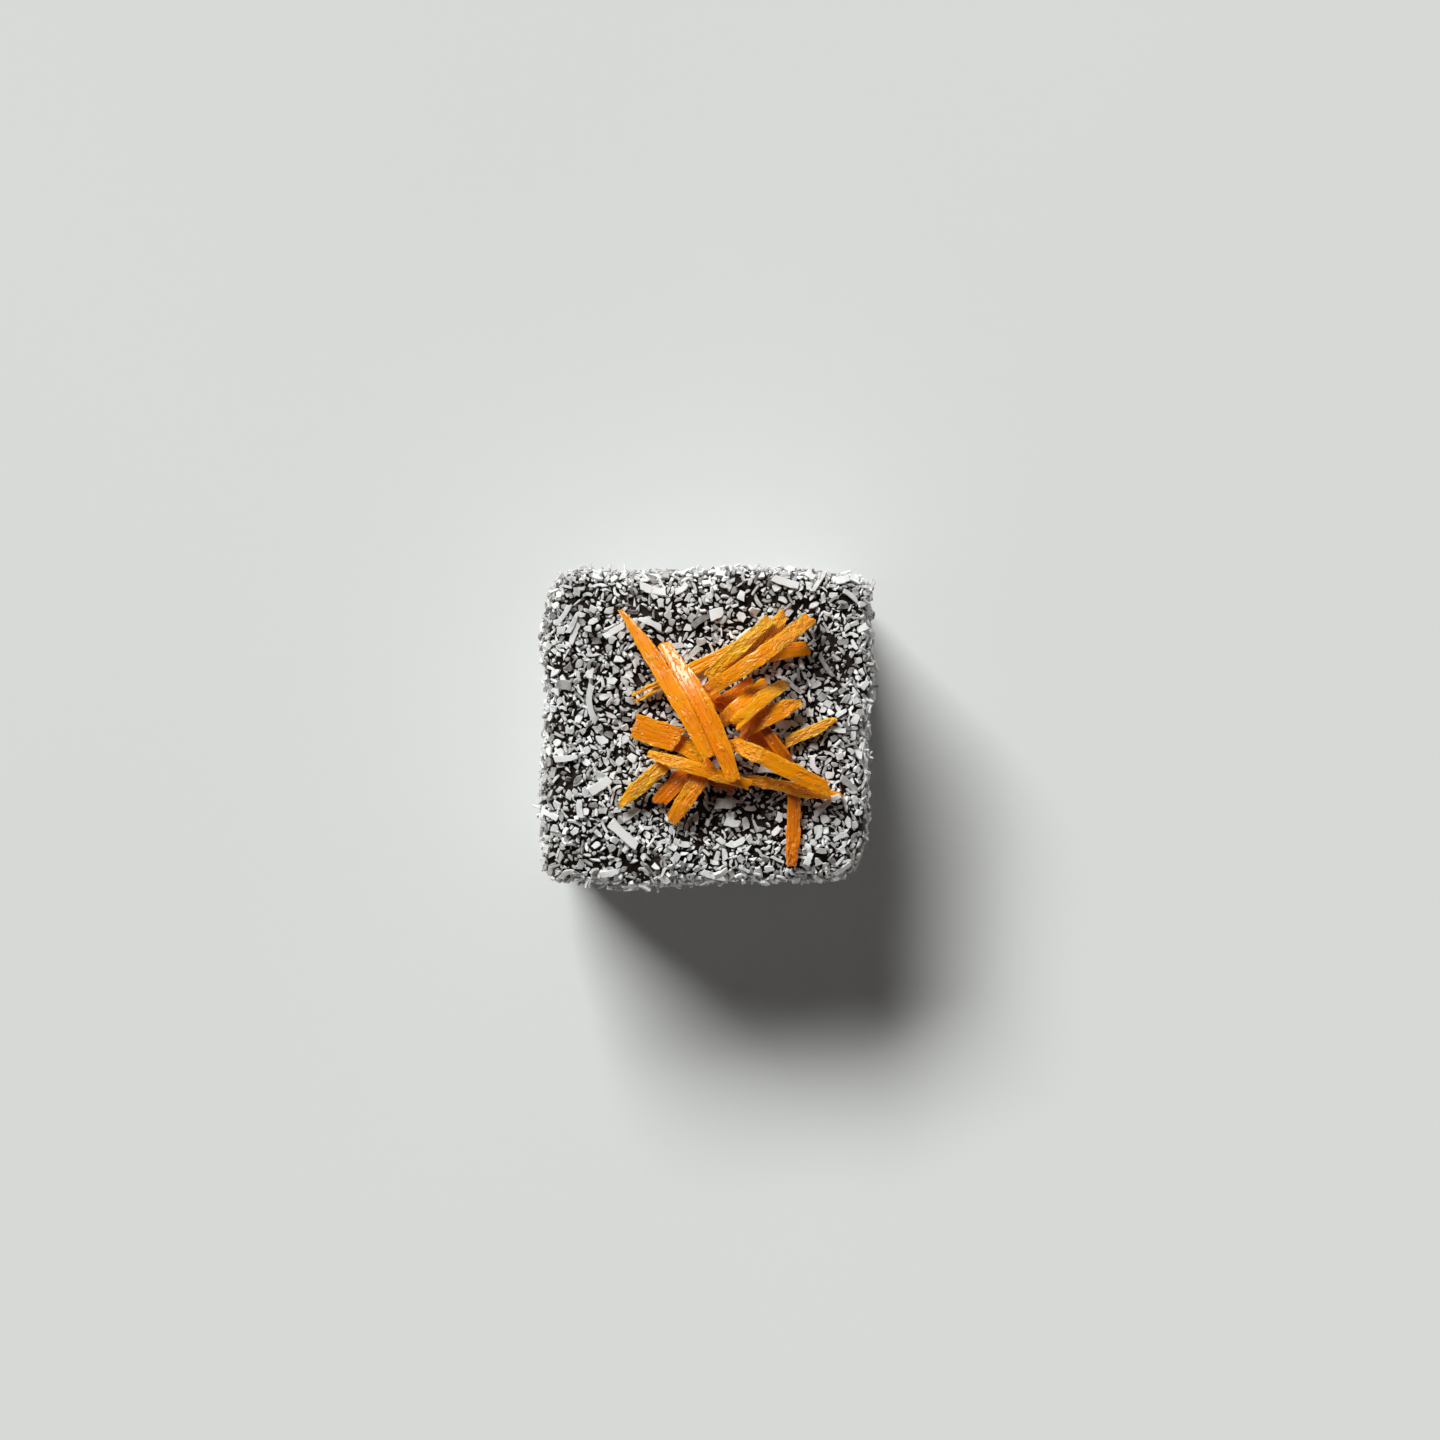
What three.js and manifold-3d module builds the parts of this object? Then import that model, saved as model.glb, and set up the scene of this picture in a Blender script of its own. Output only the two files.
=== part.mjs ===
// Lamington: a square block of sponge cake, dipped in dark chocolate icing and rolled in desiccated
// coconut, with a loose heap of thin orange peel strips on top.
// Millimetres, +Z up. The origin is the centre of the flat base, and +Y is the back of the cake.

import * as THREE from "three";
import { mergeVertices } from "three/addons/utils/BufferGeometryUtils.js";
import Module from "manifold-3d";

const wasm = await Module();
wasm.setup();

// ---------------------------------------------------------------- driving dimensions

const BLOCK = {
  width: 55.6, // along X
  depth: 52.6, // along Y
  height: 41.4,
  cornerRound: 4.4, // how far the rounding of the upright edges and of the top's rim reaches in
  softCorner: 2.4, // and how much farther it reaches at the front right corner, which is worn rounder
  topRound: 3.2, // how far the rim's rounding reaches down
  baseRound: 1.6,
  lean: 0.034, // the plan is a slight parallelogram: its back stands to the right of its front
  frontSlant: 0.026, // the front runs a little backwards from left to right
  bulge: 0.5, // how far the middle of each side stands out
};
const BLOCK_SEGMENTS = { across: 14, up: 10 };
const EDGE_CROWDING = 1.5; // above 1, the block's mesh lines crowd towards its edges
const ROUGHNESS = 0.2; // random relief of the coconut cover

// The flat part of the underside, which the cake stands on. It has four corners.
const FOOT = {
  reach: 0.72, // of the block's half width and half depth
  hollow: 0.012, // how far each of its sides runs in between two corners, as a share of its distance
  rimLift: 0.6, // the underside around the foot lies this much higher
};

// Waves that make the hand-cut block uneven: height, then radians per millimetre along X, Y and Z, and phase.
const WAVES = [
  { height: 0.42, along: [0.21, 0.05, 0.13], phase: 0.4 },
  { height: 0.3, along: [-0.09, 0.24, 0.17], phase: 1.9 },
  { height: 0.22, along: [0.37, 0.31, -0.22], phase: 3.1 },
  { height: 0.16, along: [-0.52, 0.41, 0.47], phase: 0.7 },
];

const SHREDS = { count: 46, length: [3.6, 6.2], width: [0.9, 1.4], thickness: 0.8, bend: 0.5, bends: 2 };
const CHIPS = { count: 200, length: [1.9, 3.1], width: [1.3, 2.1], thickness: 0.9, bend: 0, bends: 1 };
const FLAKE_SINK = 0.1; // how far a flake's middle lies under the cover's surface
const FLAKE_TILT = 0.2; // radians
const CLEAR_OF_BASE = 0.7; // the flakes are pressed flat this far above the base plane
const PLACING_TRIES = 14; // the more tries each flake has, the more evenly they spread

const GAP = 0.32; // left between a strip and whatever it lies on
const CREST = 0.35; // how far the coconut's crests carry a strip above the cover's surface
const STRIP_SEGMENTS = { along: 7, across: 3 };
const STRIP_EDGE = 0.8; // a strip's thickness at its long edges, as a share of its middle's

// Strips from the bottom of the heap to its top: where each end lies in plan, and the width. `points` is
// the share of the width left at either end, `bow` how far the middle stands to the left of the straight
// way, `slant` how far either end is cut askew, `roll` a tipping about the length in radians, and `split`
// a notch down the first end.
const STRIPS = [
  { from: [-0.4, 6.3], to: [5.1, 1.4], width: 2.5 },
  { from: [2.3, 3.9], to: [7.8, 7.6], width: 2.2 },
  { from: [12.8, -2.9], to: [22.2, 1.4], width: 1.8, points: [0.9, 0.15] },
  { from: [6.6, -0.1], to: [12.5, -6.8], width: 2.3 },
  { from: [9.2, 0.3], to: [14.2, -6.6], width: 1.9 },
  { from: [-8.1, -12.8], to: [-2.7, -6.6], width: 2.8, points: [0.85, 0.9] },
  { from: [9.3, 12], to: [17.1, 13.2], width: 2.6 },
  { from: [14.3, -23.7], to: [14.8, -9.4], width: 2.3, points: [0.7, 0.95] },
  { from: [-7.5, -1.4], to: [-0.1, -5.1], width: 3.0 },
  { from: [-3.4, -6.4], to: [5.1, -10.5], width: 2.3 },
  { from: [-12.7, 4.5], to: [7.3, 14.5], width: 2.0, points: [0.85, 0.8], split: true },
  { from: [5.4, -1.1], to: [16.1, 4.3], width: 3.0, points: [0.9, 0.25], bow: 0.4 },
  { from: [-14.4, -12.9], to: [-6.4, -5.7], width: 2.6, points: [0.35, 0.9] },
  { from: [-6.1, -16], to: [0.9, -5.9], width: 2.8, points: [0.75, 0.9] },
  { from: [-12.4, 0.3], to: [-4.4, -2.4], width: 4.3, points: [0.85, 0.95], slant: [0, 0.3] },
  { from: [7, -8.9], to: [22.8, -11.8], width: 2.1, points: [0.85, 0.6] },
  { from: [6.1, 10.1], to: [14, 17], width: 2.0, points: [0.85, 0.9] },
  { from: [2.4, 0.8], to: [10.1, 7.3], width: 2.5, points: [0.85, 0.85] },
  { from: [-9.7, -4.4], to: [7.3, -9.7], width: 2.1, points: [0.6, 0.85] },
  { from: [1.6, 7.6], to: [13.1, 18.8], width: 2.1, points: [0.8, 0.85] },
  { from: [4.4, 0], to: [13.3, 7.3], width: 2.5, points: [0.85, 0.6], bow: 0.5 },
  { from: [0, 7.9], to: [10.8, 18], width: 2.2, points: [0.75, 0.8] },
  { from: [4.1, -2.5], to: [20.2, -10.3], width: 2.7, points: [0.78, 0.85] },
  { from: [-0.4, 5.7], to: [17.5, 18.3], width: 2.6, points: [0.85, 0.85], bow: -0.6 },
  { from: [-7.4, 14], to: [4.7, -8.9], width: 3.4, points: [0.52, 0.6], bow: 1 },
  { from: [-14.6, 19.9], to: [0.6, -5.3], width: 3.0, points: [0.16, 0.6], bow: 0.7, roll: 0.3 },
];
const STRIP_THICKNESS = [0.62, 0.95];
const STRIP_POINTS = [0.9, 0.9]; // these three where a strip gives none of its own
const STRIP_SLANT = 0.3;
const STRIP_ROLL = 0.14;
const FULL_WIDTH_FROM = 0.35; // share of the length over which an end widens to the full width
const SPLIT = { depth: 0.2, mouth: 0.45 }; // shares of the length and of the width

const COLOURS = { cake: 0x8c827d, strip: 0xf08c14 };

// ---------------------------------------------------------------- small helpers

// Random numbers from 0 to 1 that are the same on every run.
function seeded(seed) {
  let state = seed;
  return () => {
    state = (state + 0x6d2b79f5) | 0;
    let t = Math.imul(state ^ (state >>> 15), 1 | state);
    t = (t + Math.imul(t ^ (t >>> 7), 61 | t)) ^ t;
    return ((t ^ (t >>> 14)) >>> 0) / 4294967296;
  };
}

const between = (random, [low, high]) => low + (high - low) * random();
const eitherWay = (random, most) => most * (2 * random() - 1);
const smooth = (value, low, high) => THREE.MathUtils.smoothstep(value, low, high);

// The geometry with one vertex at each place, so that moving it keeps the surface closed.
function welded(geometry) {
  geometry.deleteAttribute("normal");
  geometry.deleteAttribute("uv");
  return mergeVertices(geometry);
}

// Moves every vertex of the geometry to where `place` puts it.
function reshape(geometry, place) {
  const position = geometry.attributes.position;
  const point = new THREE.Vector3();
  for (let i = 0; i < position.count; i++) {
    point.fromBufferAttribute(position, i);
    const moved = place(point.x, point.y, point.z);
    position.setXYZ(i, moved.x, moved.y, moved.z);
  }
  return geometry;
}

function toSolid(geometry) {
  return new wasm.Manifold(
    new wasm.Mesh({
      numProp: 3,
      vertProperties: new Float32Array(geometry.attributes.position.array),
      triVerts: new Uint32Array(geometry.index.array),
    }),
  );
}

function toGeometry(solid) {
  const mesh = solid.getMesh();
  return new THREE.BufferGeometry()
    .setAttribute("position", new THREE.BufferAttribute(mesh.vertProperties, 3))
    .setIndex(new THREE.BufferAttribute(mesh.triVerts, 1));
}

function named(name, geometry, colour, roughness) {
  const material = new THREE.MeshStandardMaterial({ color: colour, roughness, metalness: 0 });
  const mesh = new THREE.Mesh(geometry, material);
  mesh.name = name;
  return mesh;
}

// ---------------------------------------------------------------- the block

const HALF = new THREE.Vector3(BLOCK.width, BLOCK.depth, BLOCK.height).multiplyScalar(0.5);

function waviness(point) {
  let sum = 0;
  for (const { height, along, phase } of WAVES)
    sum += height * Math.sin(along[0] * point.x + along[1] * point.y + along[2] * point.z + phase);
  return sum;
}

// 0 on the base plane, which stays flat, and 1 a little above it.
const offBase = (point) => smooth(point.z, 0.2, 3);

// A point of the cube from -1 to 1, moved to its place on the rounded, uneven block.
function onBlock(u, v, w) {
  const round = BLOCK.cornerRound + BLOCK.softCorner * smooth(u, 0, 1) * smooth(-v, 0, 1);
  const radii = new THREE.Vector3(round, round, w > 0 ? BLOCK.topRound : BLOCK.baseRound);
  const core = HALF.clone().sub(radii);
  const point = new THREE.Vector3(u, v, w).multiply(HALF);
  const centre = point.clone().clamp(core.clone().negate(), core);
  const outward = point.clone().sub(centre).divide(radii).normalize();
  point.copy(centre).add(outward.clone().multiply(radii));
  point.z += HALF.z;
  const swell = Math.abs(outward.x) * (1 - v * v) + Math.abs(outward.y) * (1 - u * u);
  const relief = waviness(point) + BLOCK.bulge * (1 - w * w) * swell;
  point.addScaledVector(outward, relief * offBase(point));
  const frontness = 0.5 - point.y / BLOCK.depth;
  point.y += BLOCK.frontSlant * point.x * frontness;
  point.x += BLOCK.lean * point.y;
  return point;
}

const crowded = (t) => Math.sign(t) * (1 - (1 - Math.abs(t)) ** EDGE_CROWDING);

// Sets a point of the underside: hollows the foot's sides, or lifts what lies outside the foot.
function shapeUnderside(point, u, v) {
  if (Math.max(Math.abs(u), Math.abs(v)) > FOOT.reach) {
    point.z += FOOT.rimLift;
    return;
  }
  point.x *= 1 - FOOT.hollow * (1 - (v / FOOT.reach) ** 2);
  point.y *= 1 - FOOT.hollow * (1 - (u / FOOT.reach) ** 2);
}

function blockGeometry() {
  const random = seeded(11);
  const { across, up } = BLOCK_SEGMENTS;
  const cube = welded(new THREE.BoxGeometry(2, 2, 2, across, across, up));
  return reshape(cube, (u, v, w) => {
    const point = onBlock(crowded(u), crowded(v), crowded(w));
    const jitter = new THREE.Vector3(random(), random(), random()).addScalar(-0.5);
    point.addScaledVector(jitter, 2 * ROUGHNESS * offBase(point));
    if (w === -1) shapeUnderside(point, crowded(u), crowded(v));
    return point;
  });
}

// ---------------------------------------------------------------- the heap of strips

// Heights over the cake's top on a square grid, for what lies on what.
const CELL = 0.25;
const CELLS = 260;
const cellOf = (x) => Math.round(x / CELL + CELLS / 2);
const topHeights = new Float32Array(CELLS * CELLS).fill(-Infinity);
const undersides = new Float32Array(CELLS * CELLS).fill(Infinity);

function eachCellNear(x, y, reach, visit) {
  const steps = Math.ceil(reach / CELL);
  for (let i = -steps; i <= steps; i++)
    for (let j = -steps; j <= steps; j++)
      if (Math.hypot(i, j) * CELL <= reach + CELL / 2) visit((cellOf(y) + j) * CELLS + cellOf(x) + i);
}

function highestNear(x, y, reach) {
  let highest = -Infinity;
  eachCellNear(x, y, reach, (cell) => (highest = Math.max(highest, topHeights[cell])));
  return highest;
}

function coverTheBlock() {
  const samples = 300;
  for (let i = 0; i <= samples; i++)
    for (let j = 0; j <= samples; j++) {
      const top = onBlock((2 * i) / samples - 1, (2 * j) / samples - 1, 1);
      eachCellNear(top.x, top.y, CELL, (cell) => {
        topHeights[cell] = Math.max(topHeights[cell], top.z + CREST);
      });
    }
}

// The slope from one point to the next, and a chain of points' height at x.
const rise = ([x0, y0], [x1, y1]) => (y1 - y0) / (x1 - x0);
function valueAt(chain, x) {
  const next = Math.max(1, chain.findIndex((point) => point[0] >= x));
  return chain[next - 1][1] + rise(chain[next - 1], chain[next]) * (x - chain[next - 1][0]);
}

// A strip's shape: t runs from 0 to 1 along it, and side and face from -1 to 1 across and through it.
class Strip {
  constructor({ from, to, width, points = STRIP_POINTS, bow = 0, slant, roll, split }, random) {
    this.start = new THREE.Vector2(...from);
    this.run = new THREE.Vector2(...to).sub(this.start);
    this.length = this.run.length();
    this.leftward = new THREE.Vector2(-this.run.y, this.run.x).divideScalar(this.length);
    this.width = width;
    this.points = points;
    this.bow = bow;
    this.split = split;
    const own = [eitherWay(random, STRIP_SLANT), eitherWay(random, STRIP_SLANT)];
    this.slant = slant ?? own;
    const tipping = eitherWay(random, STRIP_ROLL);
    this.roll = roll ?? tipping;
    this.thickness = between(random, STRIP_THICKNESS);
    this.heights = new Array(STRIP_SEGMENTS.along + 1).fill(0);
  }

  halfWidth(t) {
    const [first, last] = this.points;
    const fromStart = first + (1 - first) * smooth(t, -0.06, FULL_WIDTH_FROM);
    const fromEnd = last + (1 - last) * smooth(1 - t, -0.06, FULL_WIDTH_FROM);
    return (this.width / 2) * fromStart * fromEnd;
  }

  // The height of the strip's middle line, which is straight from one of its bends to the next.
  height(t) {
    const at = THREE.MathUtils.clamp(t * STRIP_SEGMENTS.along, 0, STRIP_SEGMENTS.along - 1e-6);
    const bend = Math.floor(at);
    return THREE.MathUtils.lerp(this.heights[bend], this.heights[bend + 1], at - bend);
  }

  place(t, side, face) {
    const across = side * this.halfWidth(t);
    const thinning = THREE.MathUtils.lerp(1, STRIP_EDGE, smooth(Math.abs(side), 0.34, 1));
    const through = face * (this.thickness / 2) * thinning;
    const [cos, sin] = [Math.cos(this.roll), Math.sin(this.roll)];
    const left = across * cos - through * sin + this.bow * (1 - (2 * t - 1) ** 2);
    const askew = this.slant[0] * Math.max(0, 1 - 4 * t) + this.slant[1] * Math.max(0, 4 * t - 3);
    const on = t + (askew * across) / this.length;
    return new THREE.Vector3(
      this.start.x + this.run.x * on + this.leftward.x * left,
      this.start.y + this.run.y * on + this.leftward.y * left,
      this.height(t) + across * sin + through * cos,
    );
  }

  // Calls visit(t, point of the underside, point of the top) all over the strip.
  eachSample(visit) {
    const along = Math.ceil(this.length / (CELL * 0.8));
    const across = Math.ceil(this.width / (CELL * 0.8));
    for (let i = 0; i <= along; i++)
      for (let j = 0; j <= across; j++) {
        const side = (2 * j) / across - 1;
        visit(i / along, this.place(i / along, side, -1), this.place(i / along, side, 1));
      }
  }

  // Drapes the strip over what is below it: straight between the high places, and down to rest at its ends.
  settle() {
    const needed = new Map();
    this.eachSample((t, under) => {
      const lift = highestNear(under.x, under.y, GAP) + GAP - under.z;
      needed.set(t, Math.max(needed.get(t) ?? -Infinity, lift));
    });
    const hull = [];
    for (const next of needed) {
      while (hull.length > 1 && rise(hull.at(-2), hull.at(-1)) < rise(hull.at(-1), next)) hull.pop();
      hull.push(next);
    }
    const taut = this.heights.map((_, i) => valueAt(hull, i / STRIP_SEGMENTS.along));
    this.heights = taut.map((h, i) => {
      if (i === 0 || i === taut.length - 1) return h;
      return (taut[i - 1] + 2 * h + taut[i + 1]) / 4;
    });
    const lift = Math.max(...[...needed].map(([t, height]) => height - this.height(t)));
    this.heights = this.heights.map((h) => h + lift);
    this.eachSample((t, under, top) => {
      eachCellNear(top.x, top.y, CELL, (cell) => {
        topHeights[cell] = Math.max(topHeights[cell], top.z);
        undersides[cell] = Math.min(undersides[cell], under.z);
      });
    });
  }

  geometry() {
    const { along, across } = STRIP_SEGMENTS;
    const bar = welded(new THREE.BoxGeometry(2, 2, 2, along, across, 1));
    reshape(bar, (x, y, z) => this.place((x + 1) / 2, y, z));
    if (!this.split) return bar;
    const wedge = welded(new THREE.BoxGeometry(2, 2, 2));
    reshape(wedge, (x, y, z) => {
      const t = x > 0 ? SPLIT.depth : -SPLIT.depth;
      return this.place(t, y * (x > 0 ? 0.04 : 2 * SPLIT.mouth), 6 * z);
    });
    return toGeometry(toSolid(bar).subtract(toSolid(wedge)));
  }
}

function stripMeshes() {
  const random = seeded(5);
  return STRIPS.map((row, i) => {
    const strip = new Strip(row, random);
    strip.settle();
    const name = "orange_strip_" + String(i + 1).padStart(2, "0");
    return named(name, strip.geometry(), COLOURS.strip, 0.35);
  });
}

// ---------------------------------------------------------------- the coconut

// A random place on the block's sides and top: the point on the cube that it comes from.
function randomSpot(random) {
  const areas = [HALF.x * HALF.y, HALF.y * HALF.z, HALF.y * HALF.z, HALF.x * HALF.z, HALF.x * HALF.z];
  let pick = random() * areas.reduce((a, b) => a + b);
  const face = areas.findIndex((area) => (pick -= area) < 0);
  const a = eitherWay(random, 1);
  const b = eitherWay(random, 1);
  return [
    [a, b, 1],
    [1, a, b],
    [-1, a, b],
    [a, 1, b],
    [a, -1, b],
  ][face];
}

// The block's outward direction at a point of the cube.
function outwardAt(spot) {
  const face = spot.findIndex((c) => Math.abs(c) === 1);
  const step = 0.02;
  const [first, second] = [0, 1, 2].filter((axis) => axis !== face);
  const slope = (axis) => {
    const inwards = Math.sign(spot[axis]) * -step || step;
    const near = [...spot];
    near[axis] += inwards;
    return onBlock(...near).sub(onBlock(...spot)).multiplyScalar(Math.sign(inwards));
  };
  const across = slope(first).cross(slope(second)).normalize();
  const away = onBlock(...spot).sub(new THREE.Vector3(0, 0, HALF.z));
  return across.dot(away) < 0 ? across.negate() : across;
}

function flakeGeometry({ length, width, thickness, bend, bends }, random) {
  const slab = welded(new THREE.BoxGeometry(2, 2, 2, bends, 1, 1));
  const half = [between(random, length) / 2, between(random, width) / 2, thickness / 2];
  const taper = between(random, [0.1, 0.5]);
  const curl = eitherWay(random, bend);
  return reshape(slab, (x, y, z) => new THREE.Vector3(
    x * half[0] * between(random, [0.9, 1]),
    y * half[1] * (1 - taper * x * x) * between(random, [0.8, 1]) + curl * x * x,
    z * half[2] * between(random, [0.85, 1]),
  ));
}

// The flakes stay clear of the strips: this is the room above a flake's middle.
function roomAbove(point, reach) {
  let lowest = Infinity;
  eachCellNear(point.x, point.y, reach, (cell) => (lowest = Math.min(lowest, undersides[cell])));
  return lowest - point.z;
}

function flakes() {
  const random = seeded(23);
  const taken = [];
  const made = [];
  for (const kind of [SHREDS, CHIPS])
    for (let n = 0; n < kind.count; n++) {
      let spot;
      let point;
      let farthest = -1;
      for (let attempt = 0; attempt < PLACING_TRIES; attempt++) {
        const tried = randomSpot(random);
        const there = onBlock(...tried);
        const clear = Math.min(...taken.map((other) => other.distanceTo(there)), 100);
        const onTop = tried[2] === 1;
        const blocked = onTop && roomAbove(there, kind.length[1] / 2) < kind.thickness + GAP;
        if (!blocked && there.z > CLEAR_OF_BASE && clear > farthest) {
          farthest = clear;
          spot = tried;
          point = there;
        }
      }
      if (!spot) continue;
      taken.push(point);
      const outward = outwardAt(spot);
      const tilt = new THREE.Quaternion().setFromEuler(
        new THREE.Euler(eitherWay(random, FLAKE_TILT), eitherWay(random, FLAKE_TILT), random() * Math.PI),
      );
      const facing = new THREE.Quaternion().setFromUnitVectors(new THREE.Vector3(0, 0, 1), outward);
      const place = new THREE.Matrix4().compose(
        point.addScaledVector(outward, -FLAKE_SINK),
        facing.multiply(tilt),
        new THREE.Vector3(1, 1, 1),
      );
      made.push(toSolid(flakeGeometry(kind, random).applyMatrix4(place)));
    }
  return made;
}

// The block with its flakes fused on. Whatever the fusing leaves loose or sealed inside is dropped.
function cakeGeometry() {
  const cover = wasm.Manifold.union(flakes()).trimByPlane([0, 0, 1], CLEAR_OF_BASE);
  const pieces = toSolid(blockGeometry()).add(cover).decompose();
  return toGeometry(pieces.sort((a, b) => b.volume() - a.volume())[0]);
}

// ---------------------------------------------------------------- the whole

coverTheBlock();
const strips = stripMeshes();
const cake = named("cake", cakeGeometry(), COLOURS.cake, 0.85);

const lamington = new THREE.Group();
lamington.add(cake, ...strips);

// The origin is the middle of the cake's outline on the base plane.
cake.geometry.computeBoundingBox();
const middle = cake.geometry.boundingBox.getCenter(new THREE.Vector3());
for (const mesh of lamington.children) mesh.position.set(-middle.x, -middle.y, 0);

export default lamington;
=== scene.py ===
"""The looks of a lamington: a square cake dipped in dark chocolate icing and rolled in desiccated coconut,
with a loose heap of glossy orange peel strips on top.

Places and sizes are in millimetres, in the CAD frame, and become metres when a mesh is made. Only the floor
and the window are given in metres."""

import itertools
import math

import bmesh
import bpy
import numpy as np
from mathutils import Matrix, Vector
from mathutils.bvhtree import BVHTree


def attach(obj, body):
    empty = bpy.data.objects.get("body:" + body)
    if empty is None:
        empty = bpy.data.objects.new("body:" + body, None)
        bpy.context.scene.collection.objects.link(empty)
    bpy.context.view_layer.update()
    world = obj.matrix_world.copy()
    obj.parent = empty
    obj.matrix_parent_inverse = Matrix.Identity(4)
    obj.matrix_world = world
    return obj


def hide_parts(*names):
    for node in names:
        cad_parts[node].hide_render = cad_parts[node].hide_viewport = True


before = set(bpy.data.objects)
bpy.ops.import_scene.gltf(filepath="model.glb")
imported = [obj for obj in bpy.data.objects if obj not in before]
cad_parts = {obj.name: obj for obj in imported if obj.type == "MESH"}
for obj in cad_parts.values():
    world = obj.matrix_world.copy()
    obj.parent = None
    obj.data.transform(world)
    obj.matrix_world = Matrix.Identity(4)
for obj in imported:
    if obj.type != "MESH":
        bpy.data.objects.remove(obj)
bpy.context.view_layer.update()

MM = 0.001
STRIPS = sorted(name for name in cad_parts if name.startswith("orange_strip_"))
LOWEST = 0.02  # no point of the coat lies lower

# ---------------------------------------------------------------- the block, as the CAD source has it

WIDTH, DEPTH, HEIGHT = 55.6, 52.6, 41.4
HALF = np.array([WIDTH, DEPTH, HEIGHT]) / 2
CORNER_ROUND = 4.4  # how far the rounding of the upright edges and of the top's rim reaches in
SOFT_CORNER = 2.4  # and how much farther it reaches at the front right corner, which is worn rounder
TOP_ROUND = 3.2  # how far the rim's rounding reaches down
BASE_ROUND = 1.6
LEAN = 0.034  # the plan is a slight parallelogram: its back stands to the right of its front
FRONT_SLANT = 0.026  # the front runs a little backwards from left to right
BULGE = 0.5  # how far the middle of each side stands out
WAVES = [  # height, radians a millimetre along X, Y and Z, phase
    (0.42, (0.21, 0.05, 0.13), 0.4),
    (0.3, (-0.09, 0.24, 0.17), 1.9),
    (0.22, (0.37, 0.31, -0.22), 3.1),
    (0.16, (-0.52, 0.41, 0.47), 0.7),
]
OFF_BASE = (0.2, 3)  # the waves grow between these heights, above a base plane that stays flat
BLOCK_MIDDLE = np.array([-0.037, 0.179, 0.0])  # of the block's plan, in the frame

# ---------------------------------------------------------------- small helpers

# For the noise: what X, Y, Z and the seed are multiplied by, and how many values there are.
HASH = (73856093, 19349663, 83492791, 40503)
HASH_MIX = 1274126177
HASH_STEPS = 65536


def smooth_step(value, low, high):
    """0 up to the low limit, 1 from the high one on, with an eased rise between them."""
    t = np.clip((value - low) / (high - low), 0, 1)
    return t * t * (3 - 2 * t)


def unit(vectors):
    return vectors / np.maximum(np.linalg.norm(vectors, axis=-1, keepdims=True), 1e-9)


def noise(points, size, seed=0):
    """Smooth noise from -1 to 1 at each point, with features about `size` across (a number or three)."""
    points = points / np.asarray(size, float)
    cell = np.floor(points).astype(np.int64)
    part = points - cell
    fade = part * part * (3 - 2 * part)
    total = np.zeros(len(points))
    for corner in itertools.product((0, 1), repeat=3):
        x, y, z = (cell + corner).T
        mixed = (x * HASH[0]) ^ (y * HASH[1]) ^ (z * HASH[2]) ^ (seed * HASH[3])
        mixed = ((mixed ^ (mixed >> 13)) * HASH_MIX) & 0x7FFFFFFF
        value = ((mixed >> 8) % HASH_STEPS) / HASH_STEPS * 2 - 1
        total += value * np.prod(np.where(corner, fade, 1 - fade), axis=1)
    return total


def on_block(spots):
    """Points of the covered block and its outward directions, for spots on the cube from -1 to 1."""
    u, v, w = spots.T
    corner = CORNER_ROUND + SOFT_CORNER * smooth_step(u, 0, 1) * smooth_step(-v, 0, 1)
    radii = np.stack([corner, corner, np.where(w > 0, TOP_ROUND, BASE_ROUND)], axis=1)
    core = HALF - radii
    cube = spots * HALF
    centre = np.clip(cube, -core, core)
    outward = unit((cube - centre) / radii)
    points = centre + outward * radii
    points[:, 2] += HALF[2]
    swell = np.abs(outward[:, 0]) * (1 - v * v) + np.abs(outward[:, 1]) * (1 - u * u)
    relief = BULGE * (1 - w * w) * swell
    for height, along, phase in WAVES:
        relief = relief + height * np.sin(points @ np.array(along) + phase)
    points += outward * (relief * smooth_step(points[:, 2], *OFF_BASE))[:, None]
    points[:, 1] += FRONT_SLANT * points[:, 0] * (0.5 - points[:, 1] / DEPTH)
    points[:, 0] += LEAN * points[:, 1]
    return points + BLOCK_MIDDLE, unit(outward / radii)


def arrays_of(bm):
    """The bmesh's points, and its faces as the numbers of their points."""
    bm.verts.index_update()
    return np.array([v.co for v in bm.verts]), np.array([[v.index for v in f.verts] for f in bm.faces])


def add_piece(name, points, faces, material, slot, nodes, sharp_from, **attributes):
    """A mesh piece that stands for the CAD nodes. Its edges look sharp from an angle, in degrees."""
    mesh = bpy.data.meshes.new(name)
    mesh.vertices.add(len(points))
    mesh.vertices.foreach_set("co", (points * MM).ravel())
    mesh.loops.add(faces.size)
    mesh.loops.foreach_set("vertex_index", faces.ravel().astype(np.int32))
    mesh.polygons.add(len(faces))
    starts = np.arange(len(faces), dtype=np.int32) * faces.shape[1]
    mesh.polygons.foreach_set("loop_start", starts)
    mesh.update(calc_edges=True)
    mesh.validate()
    mesh.shade_smooth()
    mesh.set_sharp_from_angle(angle=math.radians(sharp_from))
    for key, values in attributes.items():
        if values.ndim == 1:
            attribute = mesh.attributes.new(key, "FLOAT", "POINT")
            attribute.data.foreach_set("value", values.astype(np.float32))
        else:
            attribute = mesh.attributes.new(key, "FLOAT_VECTOR", "POINT")
            attribute.data.foreach_set("vector", values.astype(np.float32).ravel())
    mesh.materials.append(material)
    piece = bpy.data.objects.new(name, mesh)
    bpy.context.scene.collection.objects.link(piece)
    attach(piece, "root")
    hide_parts(*nodes)
    return piece


# ---------------------------------------------------------------- materials

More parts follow.
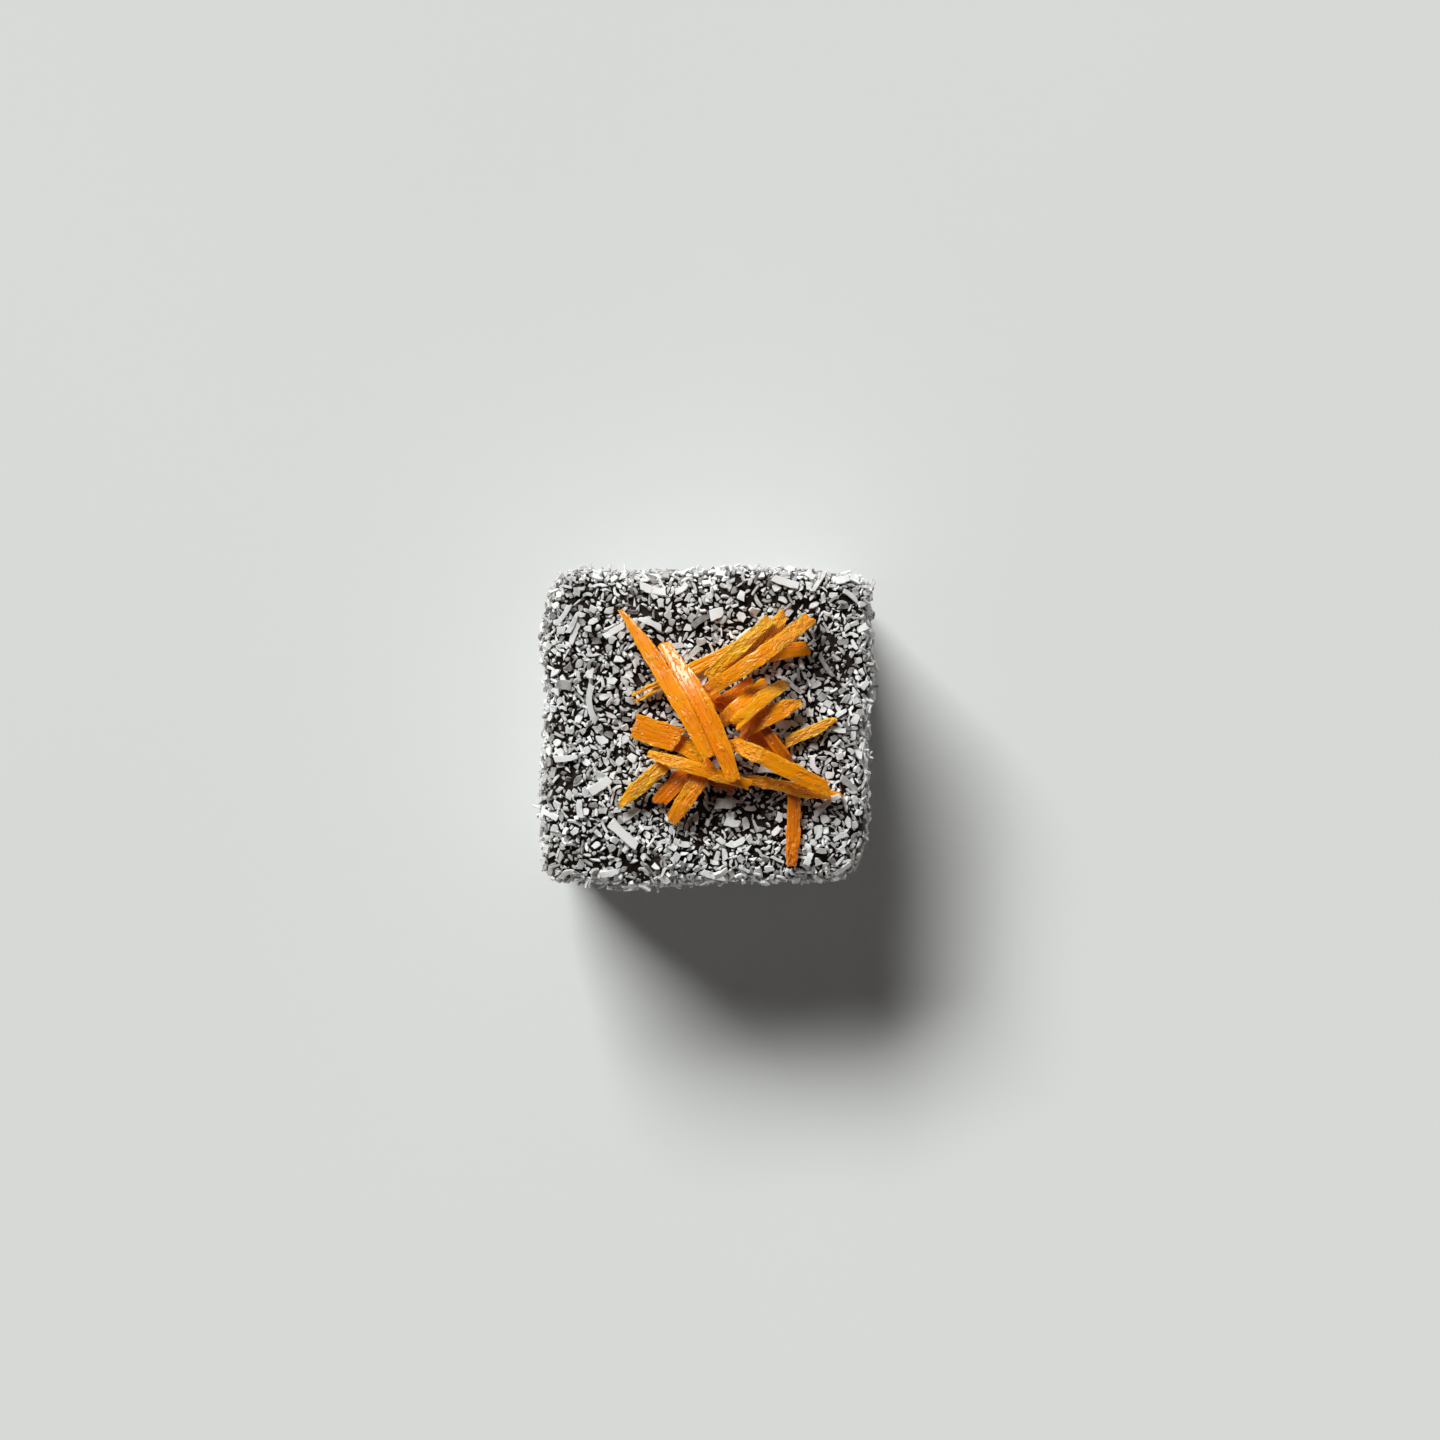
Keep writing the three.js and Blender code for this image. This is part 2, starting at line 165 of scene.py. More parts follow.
class Nodes:
    """A material's node tree, with short calls for the nodes that the finishes share."""

    def __init__(self, name):
        self.material = bpy.data.materials.new(name)
        self.material.use_nodes = True
        self.tree = self.material.node_tree
        self.shader = self.tree.nodes["Principled BSDF"]

    def node(self, kind, inputs=None, **settings):
        made = self.tree.nodes.new("ShaderNode" + kind)
        for key, value in settings.items():
            setattr(made, key, value)
        for key, value in (inputs or {}).items():
            self.put(value, made.inputs[key])
        return made

    def put(self, value, socket):
        if isinstance(value, bpy.types.NodeSocket):
            self.tree.links.new(value, socket)
        else:
            socket.default_value = value

    def set(self, **inputs):
        for key, value in inputs.items():
            self.put(value, self.shader.inputs[key.replace("_", " ")])

    def attribute(self, name, output="Fac"):
        return self.node("Attribute", attribute_name=name).outputs[output]

    def noise(self, places, scale, detail, roughness):
        mapped = self.node("Mapping", {"Vector": places, "Scale": scale}).outputs["Vector"]
        inputs = {"Vector": mapped, "Scale": 1.0, "Detail": detail, "Roughness": roughness}
        return self.node("TexNoise", inputs).outputs["Fac"]

    def even_noise(self, per_mm, detail, roughness=0.5):
        """Noise over the piece, with so many features a millimetre."""
        places = self.node("TexCoord").outputs["Object"]
        return self.noise(places, (per_mm / MM,) * 3, detail, roughness)

    def grain_noise(self, along, across, detail, roughness=0.5):
        """Noise that follows a strip, with so many features a millimetre along it and across it."""
        return self.noise(self.attribute("grain", "Vector"), (along, across, across), detail, roughness)

    def ramp(self, factor, stops):
        made = self.node("ValToRGB", {"Fac": factor})
        elements = made.color_ramp.elements
        for index, (position, colour) in enumerate(stops):
            element = elements[index] if index < 2 else elements.new(position)
            element.position = position
            element.color = (*colour, 1)
        return made.outputs["Color"]

    def rise(self, value, low, high):
        """0 up to the low limit and 1 from the high one on, with a straight rise between them."""
        return self.node("MapRange", {"Value": value, "From Min": low, "From Max": high}).outputs["Result"]

    def math(self, operation, a, b=0.0, c=0.0):
        return self.node("Math", {0: a, 1: b, 2: c}, operation=operation).outputs[0]

    def total(self, *parts, base=0.0):
        """The base plus each part times its weight."""
        for part, weight in parts:
            base = self.math("MULTIPLY_ADD", part, weight, base)
        return base

    def bump(self, height, strength, distance):
        inputs = {"Height": height, "Strength": strength, "Distance": distance * MM}
        self.set(Normal=self.node("Bump", inputs).outputs["Normal"])


def coconut_material():
    """Dried coconut: white, a little see-through, some pieces greyer, with fine fibres."""
    nodes = Nodes("desiccated_coconut")
    mottle = nodes.even_noise(1.1, detail=2)
    colour = nodes.ramp(nodes.total((nodes.attribute("tone"), 0.8), (mottle, 0.35)), [
        (0.12, (0.10, 0.074, 0.063)),
        (0.40, (0.49, 0.478, 0.465)),
        (0.62, (0.78, 0.776, 0.765)),
        (0.82, (0.87, 0.866, 0.855)),
    ])
    nodes.set(Base_Color=colour, Roughness=0.55, IOR=1.42)
    nodes.set(Subsurface_Weight=0.5, Subsurface_Radius=(1.0, 0.9, 0.8), Subsurface_Scale=0.35 * MM)
    nodes.bump(nodes.even_noise(5.0, detail=3, roughness=0.6), strength=0.45, distance=0.12)
    return nodes.material


def icing_material():
    """Dark chocolate icing, set matt, with coconut dust in patches."""
    nodes = Nodes("dark_chocolate_icing")
    patches = nodes.even_noise(0.9, detail=4, roughness=0.6)
    colour = nodes.ramp(patches, [
        (0.3, (0.009, 0.0046, 0.0032)),
        (0.62, (0.018, 0.0090, 0.0060)),
        (0.8, (0.045, 0.0260, 0.0180)),
    ])
    nodes.set(Base_Color=colour, IOR=1.45, Specular_IOR_Level=0.18)
    nodes.set(Roughness=nodes.total((patches, 0.3), base=0.35))
    nodes.bump(nodes.even_noise(3.2, detail=5, roughness=0.65), strength=0.6, distance=0.25)
    return nodes.material


def peel_material():
    """Candied orange peel: moist, see-through orange with fibres and folds along the strip, and wet ripples. The folds
    are painted darker as shade in their creases, and the ripples are painted paler on their crests as glints and
    darker in their hollows as shade.
    """
    nodes = Nodes("candied_orange_peel")
    patches = nodes.grain_noise(0.25, 0.5, detail=1)
    streaks = nodes.grain_noise(0.13, 1.7, detail=2)
    fibres = nodes.grain_noise(0.5, 5.0, detail=4, roughness=0.6)
    folds = nodes.grain_noise(0.11, 0.95, detail=1)
    from_fold = nodes.math("ABSOLUTE", nodes.math("SUBTRACT", folds, 0.5))
    # Along the fold lines the peel is painted darker, as painted shade in the creases; the same value also sinks the
    # folds as a bump.
    off_fold_and_painted_crease_shade = nodes.rise(from_fold, 0.0, 0.03)
    drops = nodes.rise(nodes.grain_noise(1.0, 2.2, detail=1), 0.60, 0.66)
    ripples = nodes.math("SUBTRACT", nodes.grain_noise(1.2, 3.6, detail=2), 0.40)
    ripple_relief_and_painted_light = nodes.math("MULTIPLY", nodes.math("MAXIMUM", nodes.attribute("crumple"), drops), ripples)
    # The ripples' crests are painted paler and yellower as highlights and their hollows darker as painted shade; the
    # same ripples are also a real bump.
    mixed = nodes.total(
        (patches, 0.3), (streaks, 0.3), (fibres, 0.06), (off_fold_and_painted_crease_shade, 0.08), (ripple_relief_and_painted_light, 0.6),
        (nodes.attribute("tone"), 1.0),
    )
    colour = nodes.ramp(mixed, [
        (0.10, (0.20, 0.040, 0.0010)),
        (0.32, (0.66, 0.160, 0.0005)),
        (0.50, (0.92, 0.245, 0.0003)),
        (0.66, (1.00, 0.330, 0.0003)),
        (0.86, (1.00, 0.420, 0.0010)),
        (1.00, (1.00, 0.620, 0.0300)),
    ])
    nodes.set(Base_Color=colour, IOR=1.4, Specular_IOR_Level=0.8)
    nodes.set(Roughness=nodes.total((streaks, 0.2), base=0.2))
    nodes.set(Subsurface_Weight=0.3, Subsurface_Radius=(1.0, 0.45, 0.08), Subsurface_Scale=0.6 * MM)
    height = nodes.total((off_fold_and_painted_crease_shade, 0.3), (fibres, 0.08), (ripple_relief_and_painted_light, 2.4))
    nodes.bump(height, strength=1.0, distance=0.22)
    return nodes.material


def floor_material():
    nodes = Nodes("pale_floor")
    cloud = nodes.even_noise(0.004, detail=2)
    colour = nodes.ramp(cloud, [(0.2, (0.79, 0.80, 0.795)), (0.8, (0.82, 0.83, 0.825))])
    nodes.set(Base_Color=colour, Roughness=0.9, Specular_IOR_Level=0.1)
    return nodes.material


# ---------------------------------------------------------------- icing

ICING_DEPTH = 0.75  # how far the icing lies below the coconut's surface
ICING_GRID = 0.6  # spacing of the icing's mesh
ICING_LUMPS = [(3.1, 0.2), (1.3, 0.16), (0.62, 0.07)]  # size and height
ICING_SINKS = (-0.4, 1.2)  # from none at the low height to all of its depth at the high one
NO_SHARP_EDGE = 180


def box_grid(counts):
    """Unique spots over the cube from -1 to 1, and the quads between them, facing out."""
    spots, quads = [], []
    for axis, side in itertools.product(range(3), (-1, 1)):
        first, second = (axis + 1) % 3, (axis + 2) % 3
        a, b = np.meshgrid(*(np.arange(counts[i] + 1) for i in (first, second)), indexing="ij")
        face = np.empty((a.size, 3), int)
        face[:, axis] = counts[axis] if side > 0 else 0
        face[:, first], face[:, second] = a.ravel(), b.ravel()
        index = np.arange(a.size).reshape(a.shape) + sum(map(len, spots))
        ring = [index[:-1, :-1], index[1:, :-1], index[1:, 1:], index[:-1, 1:]]
        quads.append(np.stack([q.ravel() for q in ring[::side]], axis=1))
        spots.append(face)
    unique, same = np.unique(np.concatenate(spots), axis=0, return_inverse=True)
    return unique / np.array(counts) * 2 - 1, same.ravel()[np.concatenate(quads)]


def make_icing():
    spots, quads = box_grid(np.round(HALF * 2 / ICING_GRID).astype(int))
    points, normals = on_block(spots)
    depth = np.full(len(points), -ICING_DEPTH)
    for seed, (size, height) in enumerate(ICING_LUMPS):
        depth += height * noise(points, size, seed)
    points = points + normals * (depth * smooth_step(points[:, 2], *ICING_SINKS))[:, None]
    points[:, 2] = np.maximum(points[:, 2], LOWEST)
    return add_piece(
        "chocolate_icing", points, quads, icing_material(), "chocolate_icing", ["cake"], NO_SHARP_EDGE,
    )


# ---------------------------------------------------------------- orange strips

# How the CAD strips are made finer. Angles are in degrees.
WELD = 0.002  # points closer than this become one
QUAD_FLAT, QUAD_SQUARE = 25, 60  # how far two triangles that become a quad may be off flat, and off square
CREASE_FROM, CREASE = 35, 0.8  # the angle from which an edge stays sharp, and how sharp, from 0 to 1
SUBDIVISIONS = 2
LENGTHWISE = 0.75  # the cosine to the strip's direction from which an edge counts as lengthwise
LENGTHWISE_CUTS = 3  # in each such edge

# Layers of relief, each the sizes along, across and through the strip, and the height.
GROOVES = [((7, 0.5, 0.6), 0.045), ((4, 0.27, 0.35), 0.02)]
LUMPS = [((2.6, 1.6, 1.6), 0.05)]
RAGGED_EDGE = [((1.5, 2, 2), 0.17), ((0.45, 1, 1), 0.06)]
CRUMPLES = [((1.5, 0.55, 0.6), 0.17), ((0.6, 0.32, 0.4), 0.08)]
SURFACE_SEED, CRUMPLE_SEED, EDGE_SEED = 0, 10, 20
GRAIN_SHIFT = 40  # each strip has its own place in the noise, up to this far off

CRUMPLE_FADE = (0.12, 0.04)  # shares of the length over which a crumpled stretch fades, outside and inside it
SPOTS_PER_MM = 0.4  # small crumpled spots along the strip
SPOT_RADIUS, SPOT_VARIES = 0.45, (0.7, 1.2)
SPOT_STRETCH = (2.2, 1, 1)  # along, across and through the strip
PITS_PER_MM2 = 0.3
PIT_RADIUS, PIT_VARIES = 0.2, (0.7, 1.3)
PIT_DEPTH, PIT_SHALLOW = 0.1, (0.4, 1)

TORN_END = 0.9  # how far the notches run in at either end
TORN_SHARE = (0.15, 0.6)  # of that, what is gone all over, and what the notches add or give back
TORN_NOTCH = 0.6  # their width
TORN_FROM = 2.5  # how far from the end the tearing starts
ENDS_APART = 9  # in the noise, so that the two ends of a strip differ

PALE_RIM_AND_HIGHLIGHT = 0.3  # width of the paler line along the long edges: partly the thinner, see-through edge of the peel, partly a painted highlight where the edges catch the light
RIM_STEPS = 30  # stretches along the strip, each with its own width
SIDEWAYS = (0.35, 0.85)  # how far a surface faces sideways where the rim starts and where it is palest; this paler rim is partly a painted highlight
TONE, LOOK_TONE, RIM_AND_HIGHLIGHT_TONE = 0.22, 0.28, 0.14  # the tone of a plain strip, and what its look and a rim add; the looks are partly painted light and the rim partly a painted highlight
PEEL_SHARP_FROM = 60

# Each strip's look, from -1.5 for thin red-brown peel to 1 for pale yellow, and where it is crumpled, as
# shares of its length from its left end. The looks are partly each strip's own colour and partly painted light:
# strips that lie in the heap's shade, such as 2, 4, 5, 8 and 10, are painted darker, and strips 9 and 22, which
# get little light in the heap, are painted lighter.
STRIP_LOOKS_AND_PAINTED_LIGHT = {
    1: (-0.7, None), 2: (-0.6, None), 3: (0.4, (0.1, 0.9)), 4: (-0.55, None), 5: (-1.25, None),
    6: (-0.7, None), 7: (-0.1, None), 8: (-0.85, (0, 0.3)), 9: (0.5, None), 10: (-1.5, None),
    11: (0.5, (0, 0.35)), 12: (-0.1, (0.7, 1)), 13: (0.55, (0.25, 0.8)), 14: (-0.2, (0.3, 0.6)),
    15: (-0.1, (0.85, 1)), 16: (0, (0, 0.65)), 17: (0.3, (0.5, 1)), 18: (0.05, None), 19: (0.15, (0, 0.3)),
    20: (0.4, (0.2, 0.9)), 21: (0.4, (0.8, 1)), 22: (0.65, (0, 1)), 23: (0, (0, 0.3)),
    24: (0.1, (0.62, 1)), 25: (-0.2, None), 26: (-0.1, None),
}


def subdivided(bm):
    """A new bmesh, as the Subdivision Surface modifier makes it of this one."""
    mesh = bpy.data.meshes.new("scratch")
    bm.to_mesh(mesh)
    scratch = bpy.data.objects.new("scratch", mesh)
    bpy.context.scene.collection.objects.link(scratch)
    scratch.modifiers.new("smooth", "SUBSURF").levels = SUBDIVISIONS
    result = bmesh.new()
    result.from_object(scratch, bpy.context.evaluated_depsgraph_get())
    bpy.data.objects.remove(scratch)
    bpy.data.meshes.remove(mesh)
    return result


def strip_axes(points):
    """The strip's middle and its directions: along it towards the right, across, and up."""
    middle = points.mean(axis=0)
    along = np.linalg.svd(points - middle, full_matrices=False)[2][0]
    along *= np.sign(along[0])
    across = unit(np.cross([0, 0, 1], along))
    return middle, np.stack([along, across, np.cross(along, across)])


def fine_strip(node):
    """The CAD strip in mm, rounded between its sharp edges and cut fine along its length, in triangles."""
    bm = bmesh.new()
    bm.from_mesh(node.data)
    bmesh.ops.scale(bm, vec=(1 / MM,) * 3, verts=bm.verts)
    bmesh.ops.remove_doubles(bm, verts=bm.verts, dist=WELD)
    flat, square = math.radians(QUAD_FLAT), math.radians(QUAD_SQUARE)
    bmesh.ops.join_triangles(bm, faces=bm.faces, angle_face_threshold=flat, angle_shape_threshold=square)
    crease = bm.edges.layers.float.new("crease_edge")
    for edge in bm.edges:
        if edge.calc_face_angle(0) > math.radians(CREASE_FROM):
            edge[crease] = CREASE
    smooth = subdivided(bm)
    bm.free()
    along = Vector(strip_axes(np.array([v.co for v in smooth.verts]))[1][0])
    lengthwise = [
        edge for edge in smooth.edges
        if abs((edge.verts[0].co - edge.verts[1].co).normalized().dot(along)) > LENGTHWISE
    ]
    bmesh.ops.subdivide_edges(smooth, edges=lengthwise, cuts=LENGTHWISE_CUTS, use_grid_fill=True)
    bmesh.ops.triangulate(smooth, faces=smooth.faces)
    return smooth


def relief_of(layers, grain, seed):
    """The sum of layers of noise, each a size along, across and through the strip, and a height."""
    return sum(height * noise(grain, size, seed + i) for i, (size, height) in enumerate(layers))


def crumple_of(local, share, stretch, rng):
    """How crumpled each point is, from 0 to 1: all of the stretch, if there is one, and small spots."""
    crumple = np.zeros(len(local))
    if stretch:
        start, end = stretch
        outside, inside = CRUMPLE_FADE
        crumple = smooth_step(share, start - outside, start + inside)
        crumple = crumple * smooth_step(-share, -end - outside, -end + inside)
    for _ in range(round(SPOTS_PER_MM * np.ptp(local[:, 0])) + 1):
        spot = local[rng.integers(len(local))]
        away = np.linalg.norm((local - spot) / SPOT_STRETCH, axis=1) / (SPOT_RADIUS * rng.uniform(*SPOT_VARIES))
        crumple = np.maximum(crumple, np.exp(-away**4))
    return crumple


def pits_of(points, count, rng):
    """How deep the pits make each point lie."""
    depth = np.zeros(len(points))
    for pit in rng.choice(len(points), count):
        away = np.linalg.norm(points - points[pit], axis=1) / (PIT_RADIUS * rng.uniform(*PIT_VARIES))
        depth += PIT_DEPTH * rng.uniform(*PIT_SHALLOW) * np.exp(-away * away)
    return depth


def tearing_of(share, length, across):
    """How far each point moves along the strip, back from a torn end."""
    end = np.sign(share - 0.5)
    torn = smooth_step(np.minimum(share, 1 - share) * -length, -TORN_FROM, 0)
    notch = noise(np.stack([end * ENDS_APART, across, end], axis=1), TORN_NOTCH)
    return -end * torn * TORN_END * (TORN_SHARE[0] + TORN_SHARE[1] * notch)


def pale_rim_and_highlight_of(share, across):
    """1 at the strip's long edges, falling to 0 a little way in, from the outline's width along the strip. It marks
    the paler rim, partly a painted highlight.
    """
    steps = np.clip((share * RIM_STEPS).astype(int), 0, RIM_STEPS - 1)
    low, high = np.full(RIM_STEPS, np.inf), np.full(RIM_STEPS, -np.inf)
    np.minimum.at(low, steps, across)
    np.maximum.at(high, steps, across)
    inside = np.minimum(across - low[steps], high[steps] - across)
    return smooth_step(-inside, -PALE_RIM_AND_HIGHLIGHT, -PALE_RIM_AND_HIGHLIGHT / 3)


def make_strip(name, material):
    number = int(name[-2:])
    rng = np.random.default_rng(number)
    look, crumpled_stretch = STRIP_LOOKS_AND_PAINTED_LIGHT[number]
    bm = fine_strip(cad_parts[name])
    bm.normal_update()
    points, faces = arrays_of(bm)
    normals = np.array([v.normal for v in bm.verts])
    bm.free()
    middle, axes = strip_axes(points)
    local = (points - middle) @ axes.T
    length, width, _ = np.ptp(local, axis=0)
    share = (local[:, 0] - local[:, 0].min()) / length
    grain = local + rng.uniform(-GRAIN_SHIFT, GRAIN_SHIFT, 3)
    crumple = crumple_of(local, share, crumpled_stretch, rng)
    sideways = np.abs(normals @ axes[1])
    relief = relief_of(GROOVES + LUMPS, grain, SURFACE_SEED) + crumple * relief_of(CRUMPLES, grain, CRUMPLE_SEED)
    relief += sideways * relief_of(RAGGED_EDGE, grain, EDGE_SEED)
    relief -= pits_of(points, int(PITS_PER_MM2 * length * width), rng)
    points = points + normals * relief[:, None]
    points += tearing_of(share, length, grain[:, 1])[:, None] * axes[0]
    # The long edges and the sideways faces are painted paler: partly the thinner, see-through edge of the peel, partly
    # a painted highlight where the edges catch the light.
    rim = np.maximum(smooth_step(sideways, *SIDEWAYS), pale_rim_and_highlight_of(share, local[:, 1]))
    # The look is partly the strip's own colour and partly painted light: darker for strips in the heap's shade,
    # lighter for a few that get little light.
    tone = TONE + LOOK_TONE * look + RIM_AND_HIGHLIGHT_TONE * rim
    return add_piece(
        name + "_peel", points, faces, material, "orange_peel", [name], PEEL_SHARP_FROM,
        grain=grain, tone=tone, crumple=crumple,
    )


# ---------------------------------------------------------------- the coconut pieces' shapes

# Each shape is about a unit long, wide and thick, with flat facets.
CHUNK_REACH = (0.36, 0.52)  # how far from the middle a lump's corners lie

FLAKE_UNEVEN = 0.36  # of the angle between two corners, by which a corner may be off
FLAKE_SQUARE = -0.8  # 0 would make the outline round, and -1 square
FLAKE_SCALE = 2.1  # what the outline is divided by, to be about a unit across
FLAKE_SHRINK = (0.86, 1)  # each of the two faces against the outline
FLAKE_OFF, FLAKE_ROUGH = 0.03, 0.16  # how far a corner may be off in the plane, and out of it
FLAKE_TIP = 0.2  # how far off the middle of a face lies
FLAKE_LEVEL = 0.3  # keeps a bent flake's middle height about 0

SHRED_SIZE = 0.47  # half of its width
SHRED_LIFT = (-0.5, 0.9)  # how far its ends stand up or hang down
SHRED_TWIST = (-0.5, 0.5)  # radians
SHRED_TAPER = (0.05, 0.5)  # how much thinner one end is
SHRED_VARIES, SHRED_CORNER_VARIES = (0.9, 1.04), (0.88, 1.05)
SHRED_SLANT, SHRED_TEAR = 0.07, 0.025  # how far an end is cut askew, and torn
SHRED_END = (0.2, 0.5)  # the slant grows between these distances from the middle
SHRED_LEVEL = 0.4  # keeps a lifted shred's middle height about 0
LEAST_CURL = 0.01  # radians


def stacked_rings(rings, low_tip, high_tip):
    """Triangles of a closed body from rings with as many points each, and a tip past either end."""
    sides = len(rings[0])
    points = np.concatenate([*rings, [low_tip, high_tip]])
    low, high = len(points) - 2, len(points) - 1
    last = (len(rings) - 1) * sides
    triangles = []
    for k in range(sides):
        after = (k + 1) % sides
        triangles += [(low, after, k), (high, last + k, last + after)]
        for base in range(0, last, sides):
            over = base + sides
            triangles += [(base + k, base + after, over + after), (base + k, over + after, over + k)]
    return points, np.array(triangles)


def chunk(rng, corners):
    """A broken lump: the hull of a few points near the faces of a box."""
    points = rng.uniform(-1, 1, (corners, 3))
    points *= (rng.uniform(*CHUNK_REACH, corners) / np.abs(points).max(axis=1))[:, None]
    bm = bmesh.new()
    for point in points:
        bm.verts.new(point)
    bmesh.ops.convex_hull(bm, input=bm.verts)
    bmesh.ops.delete(bm, geom=[v for v in bm.verts if not v.link_faces], context="VERTS")
    bmesh.ops.triangulate(bm, faces=bm.faces)
    bmesh.ops.recalc_face_normals(bm, faces=bm.faces)
    shape = arrays_of(bm)
    bm.free()
    return shape


def flake(rng, corners, ragged, bend):
    """A thin broken flake with an uneven outline, bent a little along its length."""
    uneven = rng.uniform(-FLAKE_UNEVEN, FLAKE_UNEVEN, corners)
    angles = (np.arange(corners) + uneven) * 2 * math.pi / corners
    reach = rng.uniform(1 - ragged, 1, corners)
    squarer = np.maximum(np.abs(np.cos(angles)), np.abs(np.sin(angles))) ** FLAKE_SQUARE
    outline = np.stack([np.cos(angles), np.sin(angles)], axis=1) * (reach * squarer)[:, None] / FLAKE_SCALE
    rings = []
    for height in (-0.5, 0.5):
        flat = outline * rng.uniform(*FLAKE_SHRINK) + rng.uniform(-FLAKE_OFF, FLAKE_OFF, (corners, 2))
        rings.append(np.column_stack([flat, height + rng.uniform(-FLAKE_ROUGH, FLAKE_ROUGH, corners)]))
    low, high = (np.array([*rng.uniform(-FLAKE_TIP, FLAKE_TIP, 2), z]) for z in (-0.5, 0.5))
    points, triangles = stacked_rings(rings, low, high)
    points[:, 2] += bend * rng.uniform(-1, 1) * (4 * points[:, 0] ** 2 - FLAKE_LEVEL)
    return points, triangles


def shred(rng, curls, slimness=4, sections=8):
    """A cut shred: a square bar with torn ends, curled in its plane through an angle between the two curls."""
    corners = np.array([(-1, -1), (1, -1), (1, 1), (-1, 1)])
    curl = rng.uniform(*curls)
    curl = curl if abs(curl) > LEAST_CURL else LEAST_CURL
    lift, twist, taper = rng.uniform(*SHRED_LIFT), rng.uniform(*SHRED_TWIST), rng.uniform(*SHRED_TAPER)
    slants = rng.uniform(-SHRED_SLANT, SHRED_SLANT, 2)
    sag = (1 - math.cos(curl / 2)) / curl / 2
    rings = []
    for x in np.linspace(-0.5, 0.5, sections):
        size = SHRED_SIZE * (1 - taper * max(0, 2 * x) ** 3) * rng.uniform(*SHRED_VARIES)
        square = corners * size * rng.uniform(*SHRED_CORNER_VARIES, (4, 2))
        turned = twist * x
        y = square[:, 0] * math.cos(turned) - square[:, 1] * math.sin(turned)
        z = square[:, 0] * math.sin(turned) + square[:, 1] * math.cos(turned)
        askew = slants[int(x > 0)] * smooth_step(abs(x), *SHRED_END) * corners[:, 0]
        torn = rng.uniform(-SHRED_TEAR, SHRED_TEAR, 4)
        radius = 1 / curl - y / slimness
        rings.append(np.column_stack([
            radius * math.sin(curl * x) + askew + torn,
            (1 / curl - radius * math.cos(curl * x) - sag) * slimness,
            z + lift * (4 * x * x - SHRED_LEVEL) / 2,
        ]))
    tips = [rings[end].mean(axis=0) for end in (0, -1)]
    points, triangles = stacked_rings(rings, *tips)
    return points, triangles[:, ::-1]


# ---------------------------------------------------------------- where the coconut lies

# From the largest pieces to the finest. Each kind takes at most `count` pieces from `tries` random spots, and
# repeats `templates` different shapes. `tilt` is in radians, `lift` is above the icing, `spacing` below 1 lets
# pieces overlap, and `thinning` is the share left out where the coconut lies thin.
KINDS = {
    "shreds": dict(
        count=110, tries=2600, thinning=0.3, length=(2.4, 4.4), width=(0.8, 1.2), thickness=(0.5, 0.75), tilt=0.25,
        lift=(0.35, 0.65), spacing=1.0, shape=shred, settings=dict(curls=(-0.8, 0.8)), templates=24,
    ),
    "chips": dict(
        count=1400, tries=18000, thinning=0.6, length=(1.6, 2.8), width=(1.1, 1.8), thickness=(0.35, 0.65), tilt=0.6,
        lift=(0.2, 0.7), spacing=0.74, shape=flake, settings=dict(corners=8, ragged=0.45, bend=0.7), templates=60,
    ),
    "curls": dict(
        count=1050, tries=18000, thinning=0.6, length=(1.5, 2.5), width=(0.4, 0.6), thickness=(0.4, 0.6), tilt=0.9,
        lift=(0.2, 0.6), spacing=0.66, shape=shred, settings=dict(curls=(-2.8, 2.8), slimness=3.2, sections=6),
        templates=40,
    ),
    "grains": dict(
        count=3700, tries=56000, thinning=0.85, length=(1.1, 2.1), width=(0.6, 1.05), thickness=(0.35, 0.65), tilt=1.0,
        lift=(0.1, 0.55), spacing=0.72, shape=chunk, settings=dict(corners=10), templates=80,
    ),
    "slivers": dict(
        count=2900, tries=60000, thinning=0.85, length=(0.9, 1.7), width=(0.6, 1.0), thickness=(0.22, 0.36), tilt=1.2,
        lift=(0.1, 0.5), spacing=0.7, shape=flake, settings=dict(corners=6, ragged=0.4, bend=0.8), templates=60,
    ),
    "bits": dict(
        count=3400, tries=66000, thinning=0.88, length=(0.5, 1.0), width=(0.4, 0.75), thickness=(0.35, 0.6), tilt=1.0,
        lift=(0.0, 0.35), spacing=0.72, shape=chunk, settings=dict(corners=8), templates=60,
    ),
    "crumbs": dict(
        count=2500, tries=56000, thinning=0.6, length=(0.3, 0.55), width=(0.25, 0.42), thickness=(0.2, 0.35), tilt=1.2,
        lift=(0.0, 0.2), spacing=0.7, shape=chunk, settings=dict(corners=7), templates=40,
    ),
    "tufts": dict(
        count=460, tries=5000, thinning=0.3, length=(1.1, 2.0), width=(0.35, 0.6), thickness=(0.2, 0.35), tilt=1.2,
        lift=(0.7, 1.4), spacing=0.3, shape=shred, settings=dict(curls=(-1.6, 1.6), slimness=3.2, sections=6),
        templates=40,
    ),
}
STANDOUT_SEED, THIN_SEED, KIND_SEED = 7, 40, 100
TOP_SHARE = 0.88  # how closely the spots lie on the top, against the sides
MOST_TIPPED = 1.2  # radians
PALE_AND_GREY = (1.8, 0.9)  # the beta distribution of the pieces' tones: most are pale
STAIN_AND_PAINTED_SHADE = 0.45  # how much darker the coconut is made where it lies thinnest: partly a stain from the icing, partly painted shade that stands for the strips' shadow under the heap
COCONUT_SHARP_FROM = 38

NEAR_TOP, UNDER_HEAP, OVER_HEAP = HEIGHT - 5, HEIGHT - 3, HEIGHT + 20
UNDER_STRIP_GAP = 0.08
MOST_DROP = 0.6  # a piece that would have to go farther down than this to lie under a strip is left out
CLEAR_OF_FLOOR = 0.03

